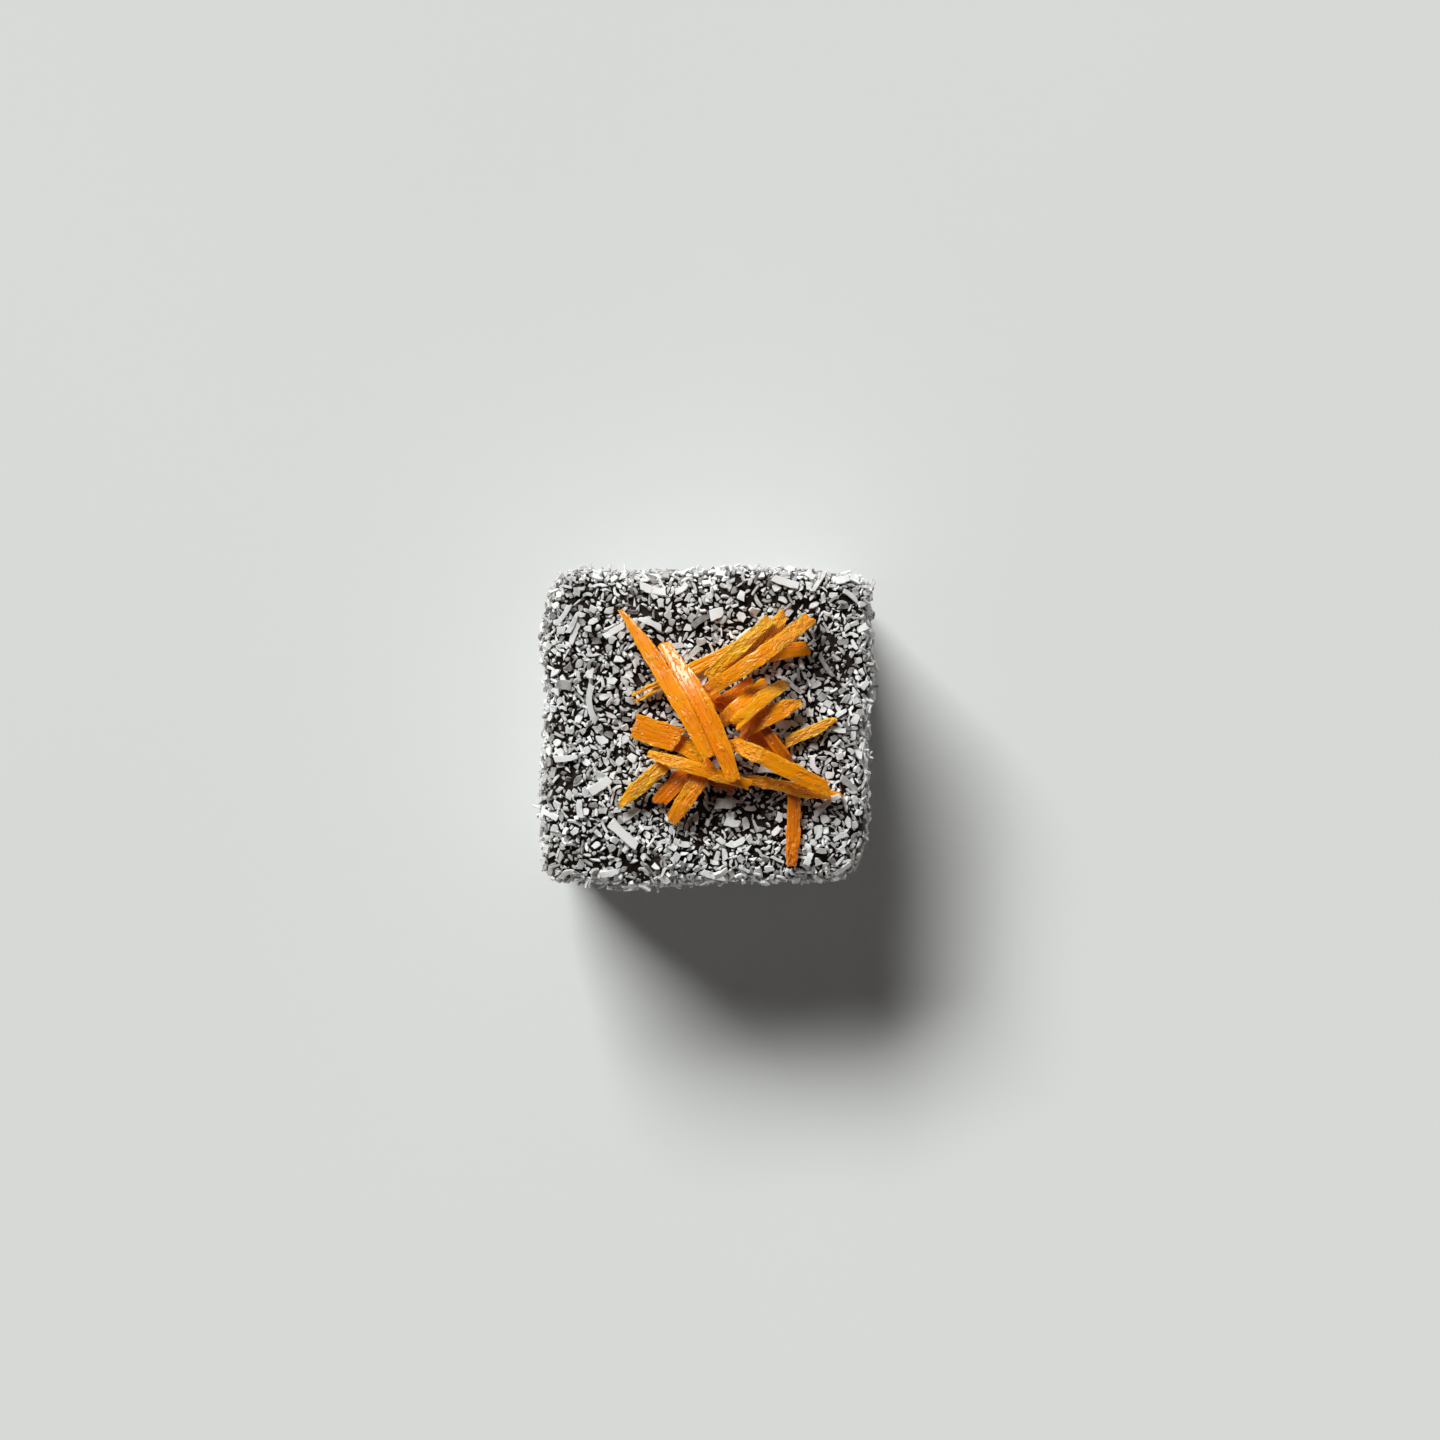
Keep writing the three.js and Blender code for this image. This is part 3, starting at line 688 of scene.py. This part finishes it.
# The coconut lies thicker in some places than in others, with small bare holes. Each is the size of the places,
# and the noise at which the coconut starts to thin and is thinnest.
THIN_PLACES = [(5.5, 0.1, 0.7), (1.9, 0.2, 0.5)]
THIN_FADE = (-1.25, -0.6)  # shares of a thin spot's reach, from where it starts to where it is thinnest

# Where the coconut lies thin on top, as the middle and how far it reaches. Some of them, such as those at (3, -13) and
# (10, -13) in front of the heap, also stand for the strips' shadow: there the coconut is thinned so that the dark
# icing shows, and darkened, as painted shade.
THIN_AND_SHADED_SPOTS = [
    ((6, 23.5), 4), ((14, 22), 4), ((-6.5, 17), 3.5), ((19, 14), 4), ((20, 8), 3.5), ((3, -13), 6.5), ((10, -13), 6),
    ((-25, -23), 4), ((-26, 1), 2.5), ((-23, -8.5), 3), ((-10.5, -23.5), 3.5), ((24, 21), 3), ((0, 15.5), 2.5),
]

# Pieces that stand out on top: the middle, the heading in degrees, the length, the width, the curl and the tone.
STANDOUTS = [
    ((-15.6, 16.3), 32, 4.1, 1.0, 0.0, 0.90),
    ((-22.5, 17.4), 63, 3.4, 0.8, 0.2, 0.50),
    ((-19.3, 4.0), -83, 6.4, 1.0, 0.9, 0.60),
    ((-24.0, 7.2), -4, 2.5, 1.5, 0.0, 0.25),
    ((-23.6, -5.1), 5, 4.0, 1.0, 0.2, 0.90),
    ((-17.9, -9.7), 32, 4.1, 1.5, 0.2, 0.80),
    ((-14.0, -17.9), -44, 6.0, 1.5, 0.1, 0.85),
    ((-12.8, -14.5), 30, 3.3, 1.2, 0.2, 0.90),
    ((-9.1, 23.7), -17, 4.6, 1.3, 0.2, 1.00),
    ((1.8, 19.2), 25, 2.4, 1.7, 0.2, 1.00),
    ((12.9, 0.5), -4, 2.5, 1.3, 0.1, 0.70),
    ((3.2, -12.8), 0, 3.5, 1.7, 0.1, 0.40),
    ((4.5, -15.9), -11, 2.6, 1.2, 0.3, 0.60),
    ((5.4, -19.1), 30, 2.3, 1.0, 0.3, 0.80),
    ((17.1, -22.0), 67, 2.2, 1.0, 0.0, 0.80),
    ((27.4, 6.9), 45, 1.7, 1.0, 0.0, 0.80),
    ((-16.3, -24.8), 12, 3.3, 1.0, 0.3, 0.90),
    ((-6.3, -27.6), -41, 1.8, 1.0, 0.0, 0.80),
    ((0.6, -26.3), -13, 3.8, 1.0, 0.4, 0.90),
    ((23.1, 26.6), 15, 2.6, 1.2, 0.2, 1.00),
    ((18.1, 27.2), -45, 1.7, 1.2, 0.0, 1.00),
    ((13.4, 24.7), -18, 4.4, 1.2, 0.2, 0.90),
    ((-1.1, 8.7), 71, 3.0, 2.0, 0.1, 1.00),
    ((20.7, -10.1), -39, 3.7, 0.6, 4.6, 1.00),
    ((21.6, -11.6), 20, 1.6, 0.8, 0.4, 1.00),
    ((18.2, -6.3), -66, 3.2, 0.8, 1.6, 0.70),
]
STANDOUT_THICKNESS = 0.65
STANDOUT_PROUD = 0.4  # of its thickness, by which a piece's middle stands above what it lies on
STANDOUT_WIDENED = 1.15  # because a shred's corners are cut back
STANDOUT_UPRIGHT = 1.5  # how much straight up counts against the surface's own direction
CELL = 2.0  # of the grid of taken space, and more than the balls of two pieces reach


def thinness(points):
    """How thin the coconut lies at each point, from 0 to 1."""
    thin = np.zeros(len(points))
    for seed, (size, starts, thinnest) in enumerate(THIN_PLACES, start=THIN_SEED):
        thin = np.maximum(thin, smooth_step(noise(points, size, seed), starts, thinnest))
    for (x, y), reach in THIN_AND_SHADED_SPOTS:
        away = np.linalg.norm(points - (x, y, HEIGHT), axis=1) / reach
        thin = np.maximum(thin, smooth_step(-away, *THIN_FADE))
    return thin


class Taken:
    """The space that is taken so far, as balls in a grid of cells."""

    def __init__(self):
        self.cells = {}

    def near(self, point):
        x, y, z = (int(c // CELL) for c in point)
        for a, b, c in itertools.product((-1, 0, 1), repeat=3):
            yield from self.cells.get((x + a, y + b, z + c), ())

    def is_free(self, point, radius, spacing):
        for x, y, z, other in self.near(point):
            reach = spacing * (radius + other)
            if (x - point[0]) ** 2 + (y - point[1]) ** 2 + (z - point[2]) ** 2 < reach * reach:
                return False
        return True

    def add(self, point, radius):
        key = tuple(int(c // CELL) for c in point)
        self.cells.setdefault(key, []).append((*point, radius))


def random_spots(rng, count):
    """Spots on the cube's top and sides, as many on each face as its area asks."""
    faces = [(2, 1), (0, -1), (0, 1), (1, -1), (1, 1)]
    areas = np.array([WIDTH * DEPTH * TOP_SHARE, DEPTH * HEIGHT, DEPTH * HEIGHT, WIDTH * HEIGHT, WIDTH * HEIGHT])
    spots = rng.uniform(-1, 1, (count, 3))
    chosen = rng.choice(len(faces), count, p=areas / areas.sum())
    for index, (axis, side) in enumerate(faces):
        spots[chosen == index, axis] = side
    return spots


def tipped_axes(normals, tilt, rng):
    """Axes along, across and up for each piece, with up tipped from the normal by up to `tilt` radians or so."""
    count = len(normals)
    tipped = np.tan(rng.uniform(0, min(tilt, MOST_TIPPED), count))[:, None]
    up = unit(normals + tipped * unit(rng.normal(size=(count, 3))))
    along = unit(np.cross(up, rng.normal(size=(count, 3))))
    return np.stack([along, np.cross(up, along), up], axis=1)


def joined(templates, chosen, sizes, axes, places):
    """One array of points and one of triangles for all the pieces, and each point's piece."""
    all_points, all_triangles, owners, start = [], [], [], 0
    for index, (points, triangles) in enumerate(templates):
        mine = np.flatnonzero(chosen == index)
        if not len(mine):
            continue
        shaped = points[None] * sizes[mine, None]
        placed = np.einsum("nvi,nij->nvj", shaped, axes[mine]) + places[mine, None]
        all_points.append(placed.reshape(-1, 3))
        offsets = start + np.arange(len(mine)) * len(points)
        all_triangles.append((triangles[None] + offsets[:, None, None]).reshape(-1, 3))
        owners.append(np.repeat(mine, len(points)))
        start += len(mine) * len(points)
    return np.concatenate(all_points), np.concatenate(all_triangles), np.concatenate(owners)


def under_strips(places, tops, strips):
    """How far each piece has to go down to lie under the strip above it, if there is one."""
    drop = np.zeros(len(places))
    for index, (place, top) in enumerate(zip(places, tops)):
        if place[2] < NEAR_TOP:
            continue
        hit = strips.ray_cast(Vector((place[0], place[1], UNDER_HEAP)), Vector((0, 0, 1)))[0]
        if hit is not None:
            drop[index] = max(0, top - hit.z + UNDER_STRIP_GAP)
    return drop


def beads(point, along, length, width):
    """The middles and the radius of the balls that stand for a piece in the taken space."""
    count = max(1, round(length / width))
    steps = (np.arange(count) - (count - 1) / 2) * width
    return point + steps[:, None] * along, 0.5 * math.sqrt(length * width / count)


def settled(points, sizes, axes, taken, kind):
    """The indices of the pieces that find room, which they then take."""
    kept = []
    for index, point in enumerate(points):
        spots, radius = beads(point, axes[index, 0], *sizes[index, :2])
        if all(taken.is_free(spot, radius, kind["spacing"]) for spot in spots):
            for spot in spots:
                taken.add(spot, radius)
            kept.append(index)
        if len(kept) == kind["count"]:
            break
    return kept


def add_coconut(name, points, triangles, tone, material):
    add_piece(
        "coconut_" + name, points, triangles, material, "coconut_coat", ["cake"], COCONUT_SHARP_FROM, tone=tone,
    )


def make_standouts(material, taken, icing, strips):
    rng = np.random.default_rng(STANDOUT_SEED)
    all_points, all_triangles, tones, start = [], [], [], 0
    for (x, y), heading, length, width, curl, tone in STANDOUTS:
        place, normal, _, _ = strips.ray_cast(Vector((x, y, OVER_HEAP)), Vector((0, 0, -1)))
        lift = STANDOUT_THICKNESS * STANDOUT_PROUD
        if place is None:
            place, normal, _, _ = icing.find_nearest(Vector((x, y, HEIGHT)))
            lift += ICING_DEPTH
        up = unit(np.array(normal) + (0, 0, STANDOUT_UPRIGHT))
        turn = math.radians(heading)
        across = unit(np.cross(up, (math.cos(turn), math.sin(turn), 0)))
        axes = np.stack([np.cross(across, up), across, up])
        points, triangles = shred(rng, (curl, curl), length / width)
        points = (points * (length, width * STANDOUT_WIDENED, STANDOUT_THICKNESS)) @ axes + place + up * lift
        for spot in beads(np.array(place), axes[0], length, width)[0]:
            taken.add(spot, width / 2)
        all_points.append(points)
        all_triangles.append(triangles + start)
        tones.append(np.full(len(points), tone))
        start += len(points)
    add_coconut(
        "standouts", np.concatenate(all_points), np.concatenate(all_triangles), np.concatenate(tones), material,
    )


def make_scattered(name, kind, seed, material, taken, strips):
    rng = np.random.default_rng(seed)
    templates = [kind["shape"](rng, **kind["settings"]) for _ in range(kind["templates"])]
    points, normals = on_block(random_spots(rng, kind["tries"]))
    sizes = np.stack([rng.uniform(*kind[side], len(points)) for side in ("length", "width", "thickness")], axis=1)
    axes = tipped_axes(normals, kind["tilt"], rng)
    stays = rng.uniform(0, 1, len(points)) > thinness(points) * kind["thinning"]
    points, normals, sizes, axes = points[stays], normals[stays], sizes[stays], axes[stays]
    kept = settled(points, sizes, axes, taken, kind)
    points, normals, sizes, axes = points[kept], normals[kept], sizes[kept], axes[kept]
    lift = rng.uniform(*kind["lift"], len(kept)) + sizes[:, 2] / 2 - ICING_DEPTH
    places = points + normals * lift[:, None]
    rise = (np.abs(axes[:, :, 2]) * sizes / 2).sum(axis=1)  # half of each piece's height as it lies
    drop = under_strips(places, places[:, 2] + rise, strips)
    places[:, 2] -= drop
    places[:, 2] += np.maximum(0, CLEAR_OF_FLOOR - (places[:, 2] - rise))
    chosen = rng.integers(len(templates), size=len(kept))
    chosen[drop > MOST_DROP] = -1
    all_points, triangles, owners = joined(templates, chosen, sizes, axes, places)
    all_points[:, 2] = np.maximum(all_points[:, 2], LOWEST)
    # Where the coconut lies thin it is darkened: partly an icing stain, partly painted shade of the strips' shadow.
    tones = rng.beta(*PALE_AND_GREY, len(kept)) * (1 - STAIN_AND_PAINTED_SHADE * thinness(points))
    add_coconut(name, all_points, triangles, tones[owners], material)


def make_coconut(icing, strips):
    material = coconut_material()
    taken = Taken()
    make_standouts(material, taken, icing, strips)
    for seed, (name, kind) in enumerate(KINDS.items(), start=KIND_SEED):
        make_scattered(name, kind, seed, material, taken, strips)


def tree_of(pieces):
    """What rays hit on these pieces, in millimetres."""
    points, faces, first = [], [], 0
    for piece in pieces:
        points += [v.co / MM for v in piece.data.vertices]
        faces += [[first + v for v in p.vertices] for p in piece.data.polygons]
        first += len(piece.data.vertices)
    return BVHTree.FromPolygons(points, faces)


# ---------------------------------------------------------------- floor, light and camera

FLOOR_REACH, FLOOR_CORNERS = 3.0, 96  # metres

# A wide window to the left of the back, in metres. Its azimuth is from the back to the left.
WINDOW_AZIMUTH, WINDOW_ELEVATION = math.radians(29), math.radians(39)
WINDOW_AWAY, WINDOW_WIDTH, WINDOW_HEIGHT = 40, 22, 12
WINDOW_WATTS, WINDOW_COLOUR = 20800, (0.985, 1.0, 0.99)

# The room behind the window: what lights the cake is warm and mostly from low down, and what the camera sees
# past the floor is a plain pale wall. Each is a colour near the horizon and one higher up, with the height of
# the direction where it starts, from 0 level to 1 straight up.
ROOM_LIGHT = [(0.03, (1.15, 1.12, 1.08)), (0.30, (0.046, 0.043, 0.041))]
PALE_WALL = [(0.0, (0.74, 0.745, 0.74)), (0.6, (0.42, 0.425, 0.42))]

CAMERA_AT = (2.24, 1.28, 300.0)  # it looks straight down, with the back of the cake at the top
LENS, SENSOR_WIDTH = 38.42, 36
NEAREST = 0.01  # metres


def make_floor():
    bpy.ops.mesh.primitive_circle_add(vertices=FLOOR_CORNERS, radius=FLOOR_REACH, fill_type="NGON")
    floor = bpy.context.object
    floor.name = "floor"
    floor.data.materials.append(floor_material())


def make_window():
    light = bpy.data.lights.new("window", "AREA")
    light.shape = "RECTANGLE"
    light.size, light.size_y = WINDOW_WIDTH, WINDOW_HEIGHT
    light.energy = WINDOW_WATTS
    light.color = WINDOW_COLOUR
    towards = Vector((
        -math.sin(WINDOW_AZIMUTH) * math.cos(WINDOW_ELEVATION),
        math.cos(WINDOW_AZIMUTH) * math.cos(WINDOW_ELEVATION),
        math.sin(WINDOW_ELEVATION),
    ))
    window = bpy.data.objects.new("window", light)
    bpy.context.scene.collection.objects.link(window)
    window.location = towards * WINDOW_AWAY
    window.rotation_mode = "QUATERNION"
    window.rotation_quaternion = towards.to_track_quat("Z", "Y")


def make_room():
    world = bpy.data.worlds.new("studio")
    bpy.context.scene.world = world
    world.use_nodes = True
    tree = world.node_tree
    tree.nodes.clear()
    direction = tree.nodes.new("ShaderNodeTexCoord").outputs["Generated"]
    split = tree.nodes.new("ShaderNodeSeparateXYZ")
    tree.links.new(direction, split.inputs[0])
    mix = tree.nodes.new("ShaderNodeMixShader")
    seen = tree.nodes.new("ShaderNodeLightPath").outputs["Is Camera Ray"]
    tree.links.new(seen, mix.inputs[0])
    for socket, stops in enumerate([ROOM_LIGHT, PALE_WALL], start=1):
        ramp = tree.nodes.new("ShaderNodeValToRGB")
        ramp.color_ramp.interpolation = "EASE"
        for element, (height, colour) in zip(ramp.color_ramp.elements, stops):
            element.position = height
            element.color = (*colour, 1)
        tree.links.new(split.outputs["Z"], ramp.inputs["Fac"])
        background = tree.nodes.new("ShaderNodeBackground")
        tree.links.new(ramp.outputs["Color"], background.inputs["Color"])
        tree.links.new(background.outputs[0], mix.inputs[socket])
    output = tree.nodes.new("ShaderNodeOutputWorld")
    tree.links.new(mix.outputs[0], output.inputs["Surface"])


def make_camera():
    camera = bpy.data.cameras.new("camera")
    camera.lens = LENS
    camera.sensor_width = SENSOR_WIDTH
    camera.clip_start = NEAREST
    camera_object = bpy.data.objects.new("camera", camera)
    bpy.context.scene.collection.objects.link(camera_object)
    camera_object.location = Vector(CAMERA_AT) * MM
    bpy.context.scene.camera = camera_object
    bpy.context.scene.view_settings.view_transform = "Standard"


# ---------------------------------------------------------------- making it all

icing_piece = make_icing()
peel = peel_material()
strip_pieces = [make_strip(name, peel) for name in STRIPS]
make_coconut(tree_of([icing_piece]), tree_of(strip_pieces))
make_floor()
make_window()
make_room()
make_camera()
